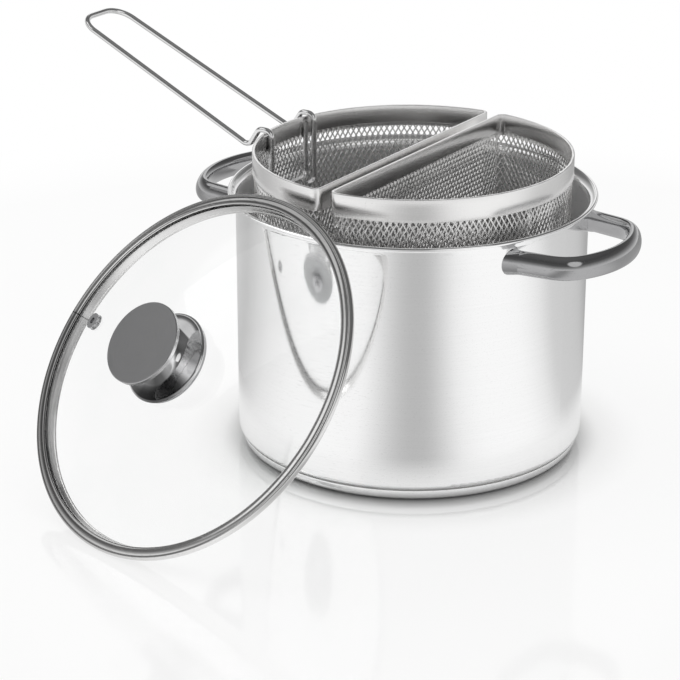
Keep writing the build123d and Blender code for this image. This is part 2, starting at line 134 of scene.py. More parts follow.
class NetSizes(bpy.types.PropertyGroup):
    """Sizes of the wire net in both baskets."""

    across: FloatProperty(
        name="Diamond Width", description="Pitch of the diamonds, level",
        default=4.2 * millimetre, min=0.002, subtype="DISTANCE", unit="LENGTH",
    )
    up: FloatProperty(
        name="Diamond Height", description="Pitch of the diamonds, upright",
        default=7.0 * millimetre, min=0.002, subtype="DISTANCE", unit="LENGTH",
    )
    strand: FloatProperty(
        name="Strand Width", description="Width of the metal between two diamonds",
        default=0.85 * millimetre, min=0.0002, subtype="DISTANCE", unit="LENGTH",
    )
    sheet: FloatProperty(
        name="Strand Thickness", description="Thickness of the strands",
        default=0.6 * millimetre, min=0.0001, subtype="DISTANCE", unit="LENGTH",
    )
    tilt: FloatProperty(
        name="Strand Tilt", description="How far a strand's edges stand in and out",
        default=0.16 * millimetre, min=0.0, subtype="DISTANCE", unit="LENGTH",
    )


class SteelLooks(bpy.types.PropertyGroup):
    """Colours of the metals."""

    polished: FloatVectorProperty(
        name="Polished Steel", description="Colour of the mirror polished pieces",
        default=(0.94, 0.94, 0.94), subtype="COLOR", size=3,
    )
    satin: FloatVectorProperty(
        name="Satin Steel", description="Colour of the brushed bands",
        default=(0.87, 0.865, 0.86), subtype="COLOR", size=3,
    )
    dark: FloatVectorProperty(
        name="Dark Chrome", description="Colour of the side handles",
        default=(0.40, 0.40, 0.405), subtype="COLOR", size=3,
    )
    net: FloatVectorProperty(
        name="Net Steel", description="Colour of the strainers' net",
        default=(0.84, 0.835, 0.83), subtype="COLOR", size=3,
    )
    knob_top: FloatVectorProperty(
        name="Knob Top", description="Colour of the disc on the knob and of the vent",
        default=(0.40, 0.40, 0.405), subtype="COLOR", size=3,
    )
    rod: FloatVectorProperty(
        name="Bright Wire", description="Colour of the wire handle and the brackets",
        default=(0.84, 0.84, 0.84), subtype="COLOR", size=3,
    )
    knob: FloatVectorProperty(
        name="Knob Steel", description="Colour of the knob's foot and neck",
        default=(0.82, 0.82, 0.825), subtype="COLOR", size=3,
    )
    aluminium: FloatVectorProperty(
        name="Aluminium", description="Colour of the base's core",
        default=(0.72, 0.72, 0.71), subtype="COLOR", size=3,
    )
    zinc: FloatVectorProperty(
        name="Zinc", description="Colour of the screw and washers",
        default=(0.60, 0.60, 0.61), subtype="COLOR", size=3,
    )


class StageSizes(bpy.types.PropertyGroup):
    """Camera, floor and light."""

    azimuth: FloatProperty(
        name="Azimuth", description="Turn of the camera round the pot",
        default=radians(33.8156), subtype="ANGLE", unit="ROTATION",
    )
    elevation: FloatProperty(
        name="Elevation", description="Height of the camera above level",
        default=radians(21.486), subtype="ANGLE", unit="ROTATION",
    )
    roll: FloatProperty(
        name="Roll", description="Turn of the picture about its middle",
        default=radians(-0.179), subtype="ANGLE", unit="ROTATION",
    )
    distance: FloatProperty(
        name="Distance", description="Camera to the point it looks at",
        default=1.8, min=0.5, subtype="DISTANCE", unit="LENGTH",
    )
    target: FloatVectorProperty(
        name="Target", description="Point that the camera looks at",
        default=(-0.04114, -0.02756, 0.0699), subtype="TRANSLATION", size=3,
    )
    lens: FloatProperty(
        name="Lens", description="Focal length on a 36 mm film",
        default=135.66, min=10.0, unit="CAMERA",
    )
    floor_radius: FloatProperty(
        name="Floor Radius", description="Reach of the floor",
        default=5.0, min=1.0, subtype="DISTANCE", unit="LENGTH",
    )
    even_light: FloatProperty(
        name="Even Light", description="Strength of the light from all round",
        default=0.84, min=0.0,
    )
    lamp_power: FloatProperty(
        name="Lamp Power", description="Power of the main soft lamp",
        default=3.0, min=0.0, unit="POWER",
    )
    facets: IntProperty(
        name="Floor Facets", description="Sides of the round floor",
        default=96, min=12,
    )


# Nodes and groups


def add_node(tree, kind, **settings):
    """A new node with its settings."""
    node = tree.nodes.new(kind)
    for name, value in settings.items():
        setattr(node, name, value)
    return node


def feed(tree, socket, value):
    """Link an output to a socket, or set the socket to a plain value."""
    if isinstance(value, bpy.types.NodeSocket):
        tree.links.new(value, socket)
    else:
        socket.default_value = value


def compute(tree, operation, *values, clamp=False):
    """Result of a Math node."""
    node = add_node(tree, "ShaderNodeMath", operation=operation, use_clamp=clamp)
    for socket, value in zip(node.inputs, values):
        feed(tree, socket, value)
    return node.outputs[0]


def remap(tree, value, low, high, to_low=0.0, to_high=1.0, smooth=False):
    """A value moved from one range to another and held inside it."""
    node = add_node(tree, "ShaderNodeMapRange")
    if smooth:
        node.interpolation_type = "SMOOTHSTEP"
    for name, entry in (
        ("Value", value), ("From Min", low), ("From Max", high),
        ("To Min", to_low), ("To Max", to_high),
    ):
        feed(tree, node.inputs[name], entry)
    return node.outputs["Result"]


def blend_colours(tree, mask, first, second, blend_type="MIX"):
    """First colour where the mask is 0, second where it is 1."""
    node = add_node(tree, "ShaderNodeMix", data_type="RGBA", blend_type=blend_type)
    feed(tree, node.inputs[0], mask)
    feed(tree, node.inputs[6], first)
    feed(tree, node.inputs[7], second)
    return node.outputs[2]


def mix_shaders(tree, mask, first, second):
    """First shader where the mask is 0, second where it is 1."""
    node = add_node(tree, "ShaderNodeMixShader")
    for socket, value in zip(node.inputs, (mask, first, second)):
        tree.links.new(value, socket)
    return node.outputs[0]


def split(tree, vector):
    """The X, Y and Z of a vector, as outputs."""
    node = add_node(tree, "ShaderNodeSeparateXYZ")
    tree.links.new(vector, node.inputs[0])
    return node.outputs


def reach_of(tree, parts):
    """Distance from the Z axis."""
    squares = [compute(tree, "POWER", parts[axis], 2.0) for axis in ("X", "Y")]
    return compute(tree, "SQRT", compute(tree, "ADD", *squares))


def bearing_of(tree, parts):
    """Direction round the Z axis in radians."""
    return compute(tree, "ARCTAN2", parts["Y"], parts["X"])


def ramp_of(tree, value, levels, interpolation="LINEAR"):
    """Grey levels along a value."""
    ramp = add_node(tree, "ShaderNodeValToRGB")
    ramp.color_ramp.interpolation = interpolation
    stops = ramp.color_ramp.elements
    while len(stops) < len(levels):
        stops.new(1.0)
    for stop, (position, level) in zip(stops, levels):
        stop.position = position
        stop.color = (level, level, level, 1.0)
    tree.links.new(value, ramp.inputs[0])
    return ramp.outputs[0]


def ramp_round(tree, bearing, levels, interpolation="LINEAR"):
    """Grey levels along a direction."""
    return ramp_of(tree, remap(tree, bearing, -pi, pi), levels, interpolation)


def noise(tree, vector, scale, detail=2.0, rough=0.5):
    """Noise between 0 and 1."""
    node = add_node(tree, "ShaderNodeTexNoise")
    for name, value in (
        ("Vector", vector), ("Scale", scale), ("Detail", detail), ("Roughness", rough),
    ):
        feed(tree, node.inputs[name], value)
    return node.outputs["Fac"]


def start_group(name, inputs, outputs):
    """A group with its named sockets, its input node and its output node."""
    group = bpy.data.node_groups.new(name, "ShaderNodeTree")
    for label, kind, default in inputs:
        socket = group.interface.new_socket(name=label, in_out="INPUT", socket_type=kind)
        if default is not None:
            socket.default_value = default
    for label, kind in outputs:
        group.interface.new_socket(name=label, in_out="OUTPUT", socket_type=kind)
    return group, group.nodes.new("NodeGroupInput"), group.nodes.new("NodeGroupOutput")


# Levels of noise from which a smudge and a scratch begin to show, and show in full
smudge_levels = (0.45, 0.72)
scratch_levels = (0.735, 0.78)
scratch_scale = (18.0, 1600.0, 1600.0)


def build_turned_group():
    """Stretch the space round the Z axis, so that noise makes rings as a lathe does."""
    group, given, result = start_group(
        "Turned Grain Space",
        (
            ("Position", "NodeSocketVector", None),
            ("Pitch", "NodeSocketFloat", 0.0003),
            ("Streaks", "NodeSocketFloat", 2.0),
        ),
        (("Vector", "NodeSocketVector"),),
    )
    parts = split(group, given.outputs["Position"])
    reach = reach_of(group, parts)
    smallest_reach = 1e-5
    safe = compute(group, "MAXIMUM", reach, smallest_reach)
    level = [
        compute(
            group, "MULTIPLY", compute(group, "DIVIDE", parts[axis], safe),
            given.outputs["Streaks"],
        )
        for axis in ("X", "Y")
    ]
    depth = compute(
        group, "DIVIDE", compute(group, "ADD", parts["Z"], reach), given.outputs["Pitch"]
    )
    vector = add_node(group, "ShaderNodeCombineXYZ")
    for socket, value in zip(vector.inputs, (*level, depth)):
        group.links.new(value, socket)
    group.links.new(vector.outputs[0], result.inputs["Vector"])
    return group


def build_grain_group():
    """Fine grain of brushed or polished metal, in colour, gloss and height."""
    group, given, result = start_group(
        "Metal Grain",
        (
            ("Vector", "NodeSocketVector", None),
            ("Color", "NodeSocketColor", (0.7, 0.7, 0.7, 1.0)),
            ("Color Spread", "NodeSocketFloat", 0.1),
            ("Roughness", "NodeSocketFloat", 0.2),
            ("Roughness Spread", "NodeSocketFloat", 0.05),
        ),
        (
            ("Color", "NodeSocketColor"),
            ("Roughness", "NodeSocketFloat"),
            ("Height", "NodeSocketFloat"),
        ),
    )
    grain = noise(group, given.outputs["Vector"], scale=1.0, detail=3.0, rough=0.6)
    signed = remap(group, grain, 0.3, 0.7, -1.0, 1.0)
    shade = add_node(group, "ShaderNodeHueSaturation")
    group.links.new(given.outputs["Color"], shade.inputs["Color"])
    value = compute(
        group, "ADD", 1.0, compute(group, "MULTIPLY", signed, given.outputs["Color Spread"])
    )
    group.links.new(value, shade.inputs["Value"])
    group.links.new(shade.outputs[0], result.inputs["Color"])
    rough = compute(
        group, "ADD", given.outputs["Roughness"],
        compute(group, "MULTIPLY", signed, given.outputs["Roughness Spread"]), clamp=True,
    )
    group.links.new(rough, result.inputs["Roughness"])
    group.links.new(grain, result.inputs["Height"])
    return group


def build_marks_group():
    """Smudges from hands and hairline scratches from use."""
    group, given, result = start_group(
        "Handling Marks",
        (
            ("Position", "NodeSocketVector", None),
            ("Smudge Scale", "NodeSocketFloat", 14.0),
            ("Scratches", "NodeSocketFloat", 1.0),
        ),
        (("Smudge", "NodeSocketFloat"), ("Scratch", "NodeSocketFloat")),
    )
    place = given.outputs["Position"]
    cloud = noise(group, place, given.outputs["Smudge Scale"], detail=3.0)
    smudge = remap(group, cloud, *smudge_levels, smooth=True)
    group.links.new(smudge, result.inputs["Smudge"])
    lines = []
    for turn, tilt in ((0.5, 0.9), (2.1, -0.7)):
        turned = add_node(group, "ShaderNodeMapping")
        group.links.new(place, turned.inputs["Vector"])
        turned.inputs["Rotation"].default_value = (tilt, turn, tilt * turn)
        turned.inputs["Scale"].default_value = scratch_scale
        streak = noise(group, turned.outputs[0], 1.0, detail=0.0)
        lines.append(remap(group, streak, *scratch_levels))
    scratch = compute(
        group, "MULTIPLY", compute(group, "MAXIMUM", *lines), given.outputs["Scratches"],
        clamp=True,
    )
    group.links.new(scratch, result.inputs["Scratch"])
    return group


group_builders = {
    "Turned Grain Space": build_turned_group,
    "Metal Grain": build_grain_group,
    "Handling Marks": build_marks_group,
}
groups = {}


def place_group(tree, name, **values):
    """Place a shared group in a material and feed its inputs."""
    if name not in groups:
        groups[name] = group_builders[name]()
    node = tree.nodes.new("ShaderNodeGroup")
    node.node_tree = groups[name]
    for label, value in values.items():
        feed(tree, node.inputs[label.replace("_", " ")], value)
    return node


# Materials

white = (1.0, 1.0, 1.0, 1.0)

# A metal's material, its tree and shader, the position that its patterns read, and the
# colour and roughness that feed the shader
Metal = namedtuple("Metal", "material tree shader place shade gloss")

# Depth of the grain's bump
grain_depth = 0.1 * millimetre


def opaque(colour):
    """A colour property with full opacity."""
    return (*colour, 1.0)


def start_material(name):
    """A material with its tree, its shader and its position on the object."""
    material = bpy.data.materials.new(name)
    material.use_nodes = True
    tree = material.node_tree
    tree.nodes.clear()
    output = add_node(tree, "ShaderNodeOutputMaterial")
    shader = add_node(tree, "ShaderNodeBsdfPrincipled")
    tree.links.new(shader.outputs[0], output.inputs["Surface"])
    place = add_node(tree, "ShaderNodeTexCoord").outputs["Object"]
    return material, tree, shader, place


def on_lid(tree, place):
    """Position measured in the lid's own space, with Z along its axis."""
    mapping = add_node(tree, "ShaderNodeMapping")
    mapping.inputs["Rotation"].default_value = lid_turn.to_euler()
    mapping.inputs["Location"].default_value = -(lid_turn @ lid_origin)
    tree.links.new(place, mapping.inputs["Vector"])
    return mapping.outputs[0]


def raise_grain(tree, shader, height, strength, distance=grain_depth):
    """Bump from a height."""
    bump = add_node(tree, "ShaderNodeBump")
    bump.inputs["Strength"].default_value = strength
    bump.inputs["Distance"].default_value = distance
    tree.links.new(height, bump.inputs["Height"])
    tree.links.new(bump.outputs[0], shader.inputs["Normal"])


def make_metal(
    name, colour, rough, spread=0.03, rough_spread=0.03, pitch=0.0004, streaks=3.0,
    smudge=0.04, scratch=0.12, bump=0.05, lid=False, turned=True, stretch=(1, 1, 1),
):
    """A metal with turned or straight grain, smudges and hairline scratches."""
    material, tree, shader, place = start_material(name)
    if lid:
        place = on_lid(tree, place)
    if turned:
        space = place_group(
            tree, "Turned Grain Space", Position=place, Pitch=pitch, Streaks=streaks
        ).outputs["Vector"]
    else:
        mapping = add_node(tree, "ShaderNodeMapping")
        mapping.inputs["Scale"].default_value = [entry / pitch for entry in stretch]
        tree.links.new(place, mapping.inputs["Vector"])
        space = mapping.outputs[0]
    grain = place_group(
        tree, "Metal Grain", Vector=space, Color=opaque(colour), Color_Spread=spread,
        Roughness=rough, Roughness_Spread=rough_spread,
    )
    marks = place_group(tree, "Handling Marks", Position=place, Scratches=1.0)
    shader.inputs["Metallic"].default_value = 1.0
    dull = [entry * (1 - scratch) for entry in colour]
    shade = blend_colours(tree, marks.outputs["Scratch"], grain.outputs["Color"], opaque(dull))
    tree.links.new(shade, shader.inputs["Base Color"])
    gloss = grain.outputs["Roughness"]
    for mark, strength in (("Smudge", smudge), ("Scratch", scratch)):
        added = compute(tree, "MULTIPLY", marks.outputs[mark], strength)
        gloss = compute(tree, "ADD", gloss, added, clamp=True)
    tree.links.new(gloss, shader.inputs["Roughness"])
    if bump:
        raise_grain(tree, shader, grain.outputs["Height"], bump)
    return Metal(material, tree, shader, place, shade, gloss)


def paint_reflection_round(tree, place, shade, tones):
    """A direction round the lid's axis, and a colour multiplied by grey levels along it, which
    paint a reflection.
    """
    turn = bearing_of(tree, split(tree, place))
    return turn, blend_colours(tree, 1.0, shade, ramp_round(tree, turn, tones), "MULTIPLY")


def make_band_steel(looks):
    """Polished steel of the lid's band, with a painted reflection round it and its butt seam
    across it.
    """
    metal = make_metal("lid_band_steel", looks.satin, 0.12, lid=True)
    tree = metal.tree
    # Painted reflection: the band's colour darker and lighter by direction round the lid
    turn, painted_reflection = paint_reflection_round(tree, metal.place, metal.shade, painted_band_reflection)
    off = compute(tree, "ABSOLUTE", compute(tree, "SUBTRACT", turn, seam_turn))
    seam = compute(tree, "LESS_THAN", off, seam_half_turn)
    seamed = blend_colours(tree, seam, painted_reflection, opaque(seam_colour))
    tree.links.new(seamed, metal.shader.inputs["Base Color"])
    return metal.material


def make_knob_steel(looks):
    """Polished steel of the knob's foot and neck, with a painted reflection round them."""
    # Even grain, because turned grain swells where the foot slopes at 45 degrees
    metal = make_metal(
        "knob_steel", looks.knob, 0.07, spread=0.012, rough_spread=0.006, turned=False,
        pitch=0.0008, smudge=0.02, scratch=0.05, bump=0.0, lid=True,
    )
    # Painted reflection: the neck's and foot's colour darker and lighter by direction round the
    # lid
    _, painted_reflection = paint_reflection_round(metal.tree, metal.place, metal.shade, painted_knob_reflection)
    metal.tree.links.new(painted_reflection, metal.shader.inputs["Base Color"])
    return metal.material


def make_disc_steel(looks):
    """Brushed face on the knob, with a polished edge below it that carries the knob's painted
    reflection.
    """
    metal = make_metal(
        "knob_top_steel", looks.knob_top, 0.36, spread=0.05, rough_spread=0.05,
        pitch=0.0002, streaks=2.0, bump=0.06, scratch=0.0, lid=True,
    )
    tree, sockets = metal.tree, metal.shader.inputs
    height = split(tree, metal.place)["Z"]
    under = compute(tree, "LESS_THAN", height, disc_top - brushed_depth)
    # Painted reflection on the polished edge under the brushed face
    _, painted_reflection = paint_reflection_round(tree, metal.place, opaque(looks.knob), painted_knob_reflection)
    tree.links.new(blend_colours(tree, under, metal.shade, painted_reflection), sockets["Base Color"])
    polish = remap(tree, under, 0.0, 1.0, 1.0, 0.25)
    tree.links.new(compute(tree, "MULTIPLY", metal.gloss, polish), sockets["Roughness"])
    return metal.material


def make_pot_steel(looks):
    """Mirror polish outside, satin inside."""
    metal = make_metal(
        "mirror_steel_pot", looks.polished, 0.07, spread=0.012, rough_spread=0.012,
        pitch=0.0009, streaks=2.0, smudge=0.03, scratch=0.06, bump=0.02,
    )
    tree = metal.tree
    reach = reach_of(tree, split(tree, metal.place))
    inside = compute(tree, "LESS_THAN", reach, pot_high[0] - lip_to_wall)
    satin_gain = 0.36
    satin = compute(
        tree, "ADD", metal.gloss, compute(tree, "MULTIPLY", inside, satin_gain), clamp=True
    )
    tree.links.new(satin, metal.shader.inputs["Roughness"])
    return metal.material


def make_lid_glass():
    """Clear glass with faint smudges that lets light through to the floor."""
    material, tree, shader, place = start_material("lid_glass_clear")
    marks = place_group(tree, "Handling Marks", Position=place, Smudge_Scale=22.0)
    smudged = (0.985, 0.99, 0.988, 1.0)
    tint = blend_colours(tree, marks.outputs["Smudge"], white, smudged)
    tree.links.new(tint, shader.inputs["Base Color"])
    shader.inputs["Roughness"].default_value = 0.0
    shader.inputs["Transmission Weight"].default_value = 1.0
    shader.inputs["IOR"].default_value = 1.32
    clear = add_node(tree, "ShaderNodeBsdfTransparent")
    clear.inputs["Color"].default_value = (0.95, 0.96, 0.955, 1.0)
    path = add_node(tree, "ShaderNodeLightPath").outputs
    passes = compute(tree, "MAXIMUM", path["Is Shadow Ray"], path["Is Diffuse Ray"])
    mixed = mix_shaders(tree, passes, shader.outputs[0], clear.outputs[0])
    tree.links.new(mixed, tree.nodes["Material Output"].inputs["Surface"])
    return material


def make_gasket():
    """Grey translucent silicone with a soft mottle."""
    material, tree, shader, place = start_material("gasket_silicone")
    mottle = noise(tree, place, 400.0, detail=3.0)
    shade = blend_colours(tree, mottle, (0.42, 0.42, 0.43, 1.0), (0.55, 0.55, 0.56, 1.0))
    tree.links.new(shade, shader.inputs["Base Color"])
    tree.links.new(remap(tree, mottle, 0.2, 0.8, 0.42, 0.58), shader.inputs["Roughness"])
    raise_grain(tree, shader, mottle, 0.15, 2 * grain_depth)
    return material


def dress(names, material):
    """Give CAD nodes their material."""
    for name in names:
        data = nodes[name].data
        data.materials.clear()
        data.materials.append(material)


# Shapes

# Distances under which points are on a plane, and are one point
same_plane = 1e-7
same_point = 1e-6

# Angles in degrees: faces that meet at less are one flat face, edges that are sharper are
# rounded over, and the lid's band and the hoops keep a crease from these angles on
flat_angle = 0.3
corner_angle = 50
band_crease = 38
hoop_crease = 32

# Steps of the lid band's spin, and cuts round the outline of a basket's floor
band_steps = 168
floor_cuts = 72


def finish_mesh(mesh, name, material, body, smooth=False):
    """Turn a bmesh into a piece that rides on a body."""
    data = bpy.data.meshes.new(name)
    mesh.to_mesh(data)
    mesh.free()
    for polygon in data.polygons:
        polygon.use_smooth = smooth
    data.materials.append(material)
    piece = bpy.data.objects.new(name, data)
    bpy.context.scene.collection.objects.link(piece)
    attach(piece, body)
    return piece


def everything(mesh):
    """All the parts of a mesh, for an operator."""
    return [*mesh.verts, *mesh.edges, *mesh.faces]


def cut(mesh, point, normal):
    """Cut a mesh at a plane and drop what lies on the normal's side."""
    bmesh.ops.bisect_plane(
        mesh, geom=everything(mesh), dist=same_plane, plane_co=point, plane_no=normal,
        clear_outer=True,
    )


def diamond_sheet(width, height, net):
    """A flat sheet about the origin, divided into upright diamonds."""
    mesh = bmesh.new()
    steps = ceil(width / net.across / 2 + height / net.up / 2) + 1
    bmesh.ops.create_grid(mesh, x_segments=2 * steps, y_segments=2 * steps, size=steps)
    slant = Matrix(
        (
            (net.across / 2, -net.across / 2, 0, 0),
            (net.up / 2, net.up / 2, 0, 0),
            (0, 0, 1, 0),
            (0, 0, 0, 1),
        )
    )
    bmesh.ops.transform(mesh, matrix=slant, verts=mesh.verts)
    for normal, reach in (
        ((1, 0, 0), width / 2), ((-1, 0, 0), width / 2),
        ((0, 1, 0), height / 2), ((0, -1, 0), height / 2),
    ):
        cut(mesh, Vector(normal) * reach, normal)
    return mesh


def open_diamonds(mesh, net):
    """Open each diamond that is over a third whole, and tilt the strands round it."""
    whole = net.across * net.up / 2
    cells = [face for face in mesh.faces if face.calc_area() > whole / 3]
    bmesh.ops.inset_individual(
        mesh, faces=cells, thickness=net.strand / 2, depth=0, use_even_offset=True
    )
    for cell in cells:
        centre = cell.calc_center_median()
        for corner in cell.verts:
            corner.co.z += net.tilt * (centre.y - corner.co.y) / (net.up / 2)
    bmesh.ops.delete(mesh, geom=cells, context="FACES")


def half_moon_place(along, inset):
    """Point on the round side and the way out there, at a length from its middle."""
    arc = band_radius - inset
    corner = outline_corner - inset
    side = 1 if along >= 0 else -1
    reach = abs(along)
    if reach <= arc * corner_turn:
        turned = reach / arc
        outward = Vector((cos(turned), side * sin(turned)))
        return arc * outward, outward
    turned = corner_turn + (reach - arc * corner_turn) / corner
    outward = Vector((cos(turned), side * sin(turned)))
    return Vector((corner_x, side * corner_y)) + corner * outward, outward


def outline_length(inset):
    """Length of a basket's round side with its two corners, at an inset."""
    arc, corner = band_radius - inset, outline_corner - inset
    return 2 * (arc * corner_turn + corner * (pi - corner_turn))


def thicken(piece, thickness):
    """Give a sheet its thickness, half to each side."""
    shell = piece.modifiers.new("thickness", "SOLIDIFY")
    shell.thickness = thickness
    shell.offset = 0.0


def sharpen(piece, angle):
    """Smooth shading with creases where faces meet at more than an angle."""
    for polygon in piece.data.polygons:
        polygon.use_smooth = True
    piece.data.set_sharp_from_angle(angle=radians(angle))


def put_in_order(mesh):
    """Sort edges and faces by their points, because a spin leaves them in chance order."""
    mesh.verts.index_update()

    def rank(part):
        points = [vert.index for vert in part.verts]
        return min(points) * len(mesh.verts) + max(points)

    mesh.edges.sort(key=rank)
    mesh.faces.sort(key=rank)


# Section of the lid's band in millimetres: inward from its edge, and down from its top
band_section = (
    (8.1, 0.72), (8.05, 0.35), (7.7, 0.1), (6.9, -0.12), (5.8, -0.2), (4.6, -0.12), (3.5, 0.1),
    (2.75, 0.42), (2.35, 0.62), (2.0, 0.55), (1.5, 0.5), (0.9, 0.72), (0.35, 1.3), (0.06, 2.1),
    (0.0, 2.8), (0.2, 3.9), (0.85, 4.9), (1.8, 5.45), (2.8, 5.6), (8.2, 5.6), (8.6, 5.75),
    (8.8, 6.2), (8.8, 11.1), (9.1, 11.8), (9.8, 12.1), (10.5, 11.8), (10.8, 11.1), (10.5, 10.4),
    (9.8, 10.1), (9.6, 9.6), (9.6, 5.6), (9.2, 4.95), (8.7, 4.86), (2.74, 4.86), (2.74, 0.72),
)


def build_lid_band(material):
    """The lid's rolled band, spun round the lid's axis."""
    mesh = bmesh.new()
    points = [
        mesh.verts.new(
            lid_origin + lid_turn.transposed() @ Vector(
                (lid_radius - (inward + band_play) * millimetre, 0, lid_top - down * millimetre)
            )
        )
        for inward, down in band_section
    ]
    for first, second in zip(points, (*points[1:], points[0])):
        mesh.edges.new((first, second))
    bmesh.ops.spin(
        mesh, geom=everything(mesh), cent=lid_origin, axis=lid_axis, angle=2 * pi,
        steps=band_steps, use_merge=True,
    )
    bmesh.ops.recalc_face_normals(mesh, faces=mesh.faces)
    put_in_order(mesh)
    piece = finish_mesh(mesh, "lid_rolled_band", material, "lid")
    sharpen(piece, band_crease)
    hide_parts("lid_rim_band")


def soften(node, material, body, width, name):
    """A copy of a CAD node with its edges rounded over."""
    mesh = bmesh.new()
    mesh.from_mesh(nodes[node].data)
    bmesh.ops.remove_doubles(mesh, verts=mesh.verts, dist=same_point)
    bmesh.ops.dissolve_limit(
        mesh, angle_limit=radians(flat_angle), verts=mesh.verts, edges=mesh.edges,
        use_dissolve_boundaries=False,
    )
    sharp = radians(corner_angle)
    corners = [edge for edge in mesh.edges if edge.calc_face_angle(0.0) > sharp]
    bmesh.ops.bevel(
        mesh, geom=corners, offset=width, offset_type="OFFSET", segments=2, profile=0.5,
        affect="EDGES", clamp_overlap=True, material=-1,
    )
    piece = finish_mesh(mesh, name, material, body)
    sharpen(piece, hoop_crease)
    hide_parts(node)


def build_round_net(side, sign, net, material):
    """The net of a basket's round side, with its two corners."""
    inset = band_wall + net.tilt + net.sheet / 2
    middle = (mesh_high[2] + mesh_low[2]) / 2
    mesh = diamond_sheet(outline_length(inset), mesh_high[2] - mesh_low[2], net)
    open_diamonds(mesh, net)
    for vert in mesh.verts:
        point, outward = half_moon_place(vert.co.x, inset)
        point = point + outward * vert.co.z
        vert.co = (sign * point.x, point.y, middle + vert.co.y)
    if sign < 0:
        bmesh.ops.reverse_faces(mesh, faces=mesh.faces)
    piece = finish_mesh(mesh, f"net_{side}_round", material, f"basket_{side}")
    thicken(piece, net.sheet)
    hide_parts(*(f"basket_{side}_mesh_panel_{panel}" for panel in net_panels))


def build_flat_net(side, sign, net, material):
    """The net of a basket's flat side."""
    low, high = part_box(f"basket_{side}_mesh_flat")
    mesh = diamond_sheet(high[1] - low[1], high[2] - low[2], net)
    open_diamonds(mesh, net)
    middle = (high[2] + low[2]) / 2
    face = sign * (half_gap + band_wall + net.tilt + net.sheet / 2)
    for vert in mesh.verts:
        vert.co = (face - sign * vert.co.z, vert.co.x, middle + vert.co.y)
    if sign > 0:
        bmesh.ops.reverse_faces(mesh, faces=mesh.faces)
    piece = finish_mesh(mesh, f"net_{side}_flat", material, f"basket_{side}")
    thicken(piece, net.sheet)
    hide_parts(f"basket_{side}_mesh_flat")


def build_floor_net(side, sign, net, material):
    """The net of a basket's floor, trimmed to the half moon."""
    low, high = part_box(f"basket_{side}_mesh_floor")
    mesh = diamond_sheet(2 * high[1], 2 * high[1], net)
    edge = outline_length(band_wall)
    for step in range(floor_cuts + 1):
        point, outward = half_moon_place(edge * (step / floor_cuts - 0.5), band_wall)
        cut(mesh, (sign * point.x, point.y, 0), (sign * outward.x, outward.y, 0))
    open_diamonds(mesh, net)
    middle = (low[2] + high[2]) / 2
    bmesh.ops.translate(mesh, verts=mesh.verts, vec=(0, 0, middle))
    piece = finish_mesh(mesh, f"net_{side}_floor", material, f"basket_{side}")
    thicken(piece, net.sheet)
    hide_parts(f"basket_{side}_mesh_floor")


# Operators


class PASTAPOT_OT_pot(bpy.types.Operator):
    """Finish the pot's body and its base"""

    bl_idname = "pasta_pot.pot"
    bl_label = "Pot and Base"

    def execute(self, context):
        looks = context.scene.pasta_pot_steel
        dress(["pot_body"], make_pot_steel(looks))
        cap = make_metal("base_steel", looks.polished, 0.12, pitch=0.0005, bump=0.04)
        dress(["base_cap"], cap.material)
        core = make_metal(
            "base_aluminium", looks.aluminium, 0.38, spread=0.06, pitch=0.0006, bump=0.1
        )
        dress(["base_core"], core.material)
        return {"FINISHED"}


class PASTAPOT_OT_side_handles(bpy.types.Operator):
    """Finish the two side handles and their feet"""

    bl_idname = "pasta_pot.side_handles"
    bl_label = "Side Handles"

    def execute(self, context):
        looks = context.scene.pasta_pot_steel
        steel = make_metal(
            "polished_tube", looks.dark, 0.08, spread=0.02, turned=False, pitch=0.0012,
            stretch=(0.2, 0.2, 1), scratch=0.1, bump=0.02,
        )
        for side in sides:
            for part in ("bow", "front_foot", "rear_foot"):
                dress([f"handle_{side}_{part}"], steel.material)
        return {"FINISHED"}


class PASTAPOT_OT_baskets(bpy.types.Operator):
    """Build the baskets' nets and finish their bands and brackets"""

    bl_idname = "pasta_pot.baskets"
    bl_label = "Strainer Baskets"

    def execute(self, context):
        looks = context.scene.pasta_pot_steel
        net = context.scene.pasta_pot_net
        satin = make_metal(
            "band_steel", looks.satin, 0.22, rough_spread=0.04, pitch=0.00025, streaks=2.0,
            scratch=0.04,
        )
        wire = make_metal(
            "bracket_steel", looks.rod, 0.14, turned=False, pitch=0.001, stretch=(1, 1, 0.2),
            bump=0.03,
        )
        strand = make_metal(
            "net_steel", looks.net, 0.16, spread=0.2, rough_spread=0.05, turned=False,
            pitch=0.002, scratch=0.0, bump=0.0,
        )
        for side, sign in sides.items():
            for part, edge in (("rim", 0.3), ("foot", 0.25)):
                soften(
                    f"basket_{side}_{part}_band", satin.material, f"basket_{side}",
                    edge * millimetre, f"hoop_{side}_{part}",
                )
            dress([f"basket_{side}_bracket"], wire.material)
            for build in (build_round_net, build_flat_net, build_floor_net):
                build(side, sign, net, strand.material)
        return {"FINISHED"}


class PASTAPOT_OT_wire_handle(bpy.types.Operator):
    """Finish the bent wire handle"""

    bl_idname = "pasta_pot.wire_handle"
    bl_label = "Wire Handle"

    def execute(self, context):
        looks = context.scene.pasta_pot_steel
        steel = make_metal(
            "rod_steel", looks.rod, 0.13, turned=False, pitch=0.001, stretch=(0.2, 1, 1),
            bump=0.03,
        )
        dress(["basket_handle"], steel.material)
        return {"FINISHED"}


class PASTAPOT_OT_lid(bpy.types.Operator):
    """Finish the lid's glass, its rim band and its steam vent"""

    bl_idname = "pasta_pot.lid"
    bl_label = "Glass Lid"

    def execute(self, context):
        looks = context.scene.pasta_pot_steel
        dress(["lid_glass"], make_lid_glass())
        build_lid_band(make_band_steel(looks))
        eyelet = make_metal(
            "eyelet_steel", looks.knob_top, 0.16, turned=False, pitch=0.0008, lid=True, bump=0.04
        )
        dress(["lid_vent_eyelet"], eyelet.material)
        return {"FINISHED"}


